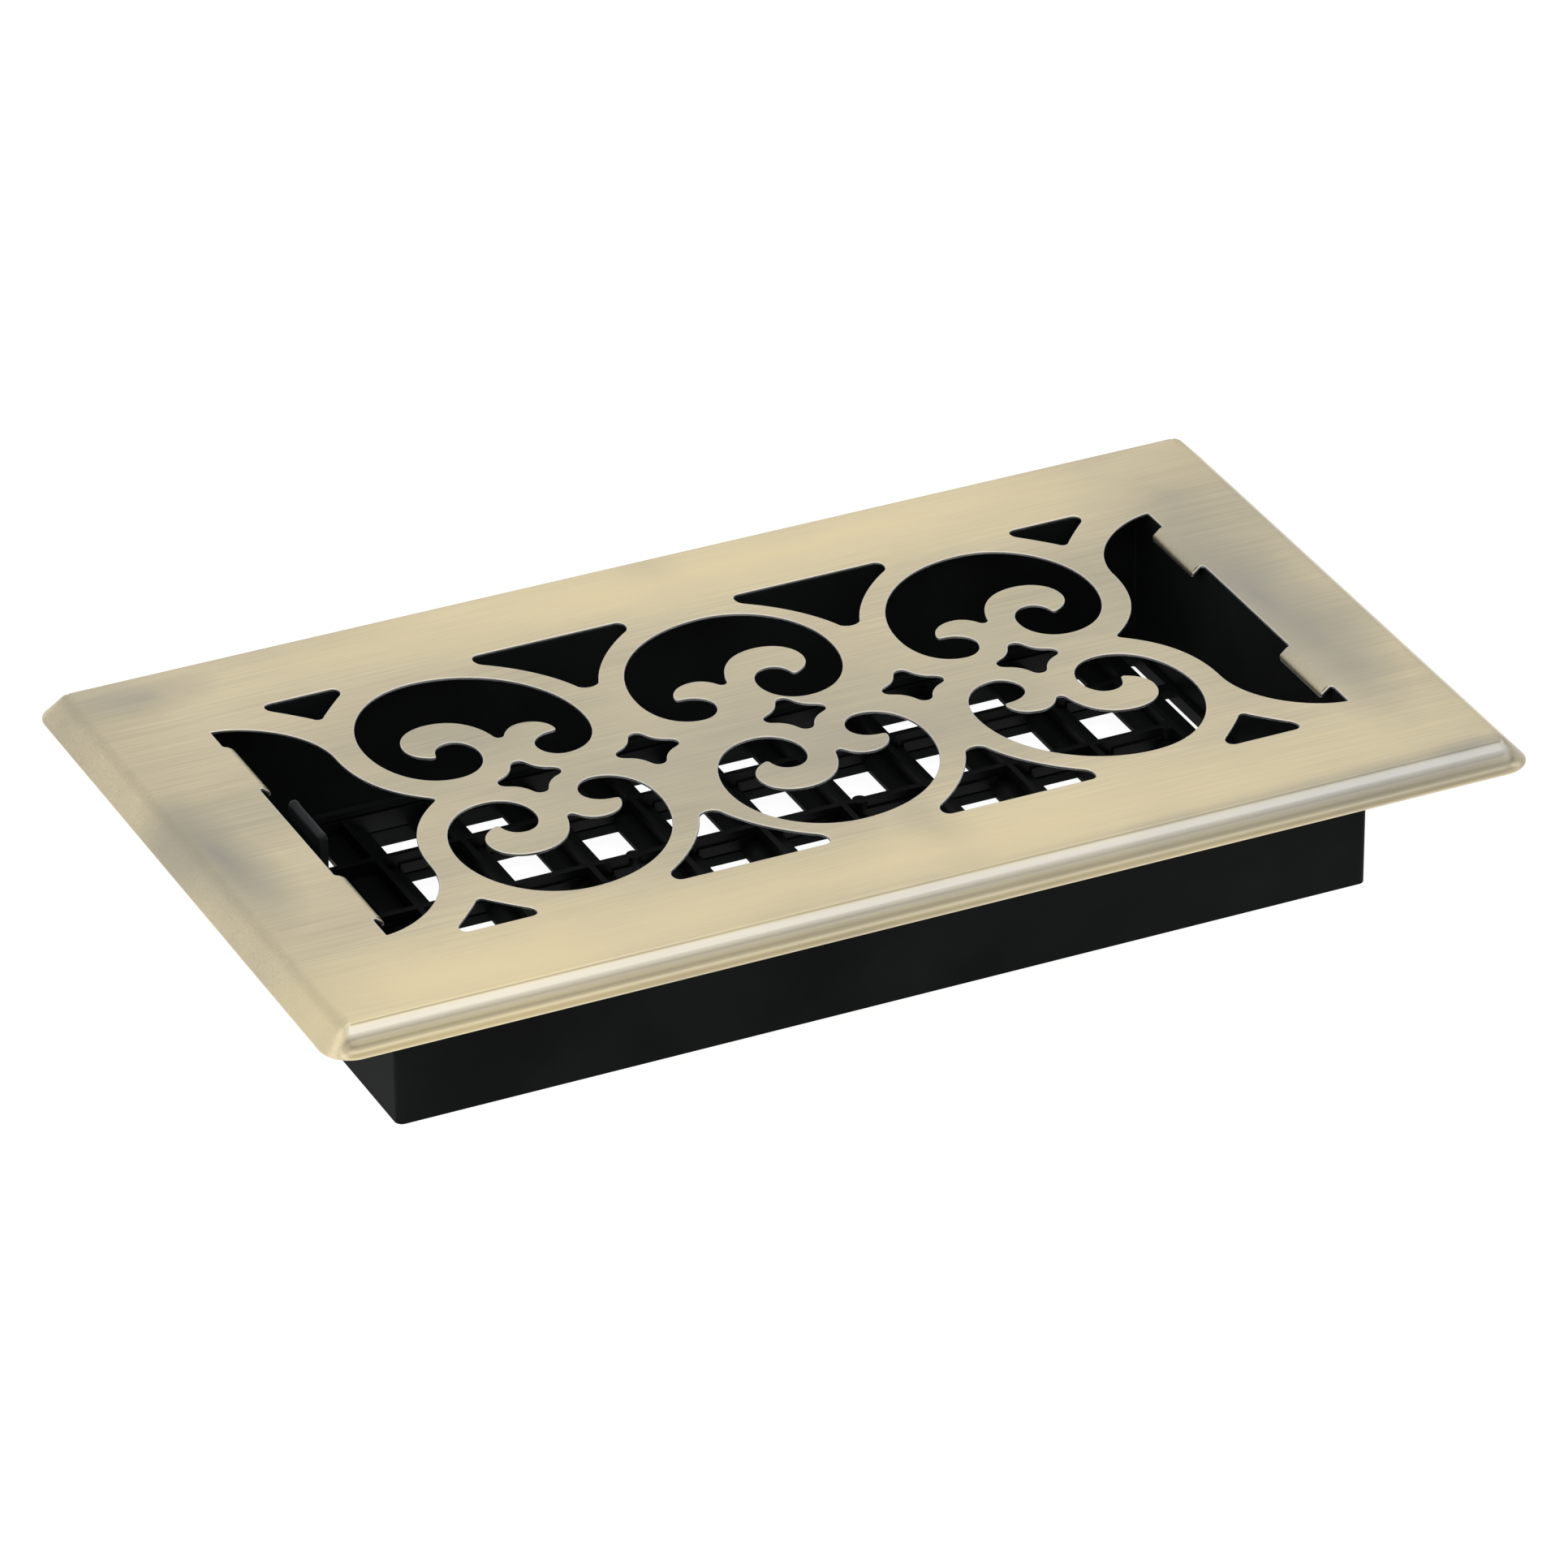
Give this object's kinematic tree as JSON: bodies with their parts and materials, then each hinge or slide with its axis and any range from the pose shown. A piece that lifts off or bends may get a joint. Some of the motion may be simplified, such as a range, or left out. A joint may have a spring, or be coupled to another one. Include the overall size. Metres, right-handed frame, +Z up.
{
  "type": "floor register",
  "caption": "Scroll-pattern floor register: a pierced brushed metal faceplate over a moulded damper box with a sliding slotted damper and finger lever.",
  "frame": {"origin": "middle of the damper box's underside, directly under the middle of the faceplate", "axes": "+X along the register's length, away from the lever; +Y across its width; +Z up, out of the duct, to the flat face"},
  "size_m": [0.2398, 0.1396, 0.036],
  "materials": {
    "antique_brass": "antique brass plating over stamped steel, finely brushed along the length",
    "box_plastic": "moulded black plastic, satin",
    "slide_plastic": "moulded black plastic, satin",
    "lever_plastic": "moulded black plastic, smoother where it is handled"
  },
  "bodies": {
    "register": {"faceplate": "antique_brass", "damper_box": "box_plastic"},
    "damper": {"damper_slide": "slide_plastic", "damper_lever": "lever_plastic"}
  },
  "joints": [
    {"name": "damper_travel", "type": "slide", "parent": "register", "child": "damper", "axis": [1, 0, 0], "range_m": [0, 0.0094]}
  ]
}
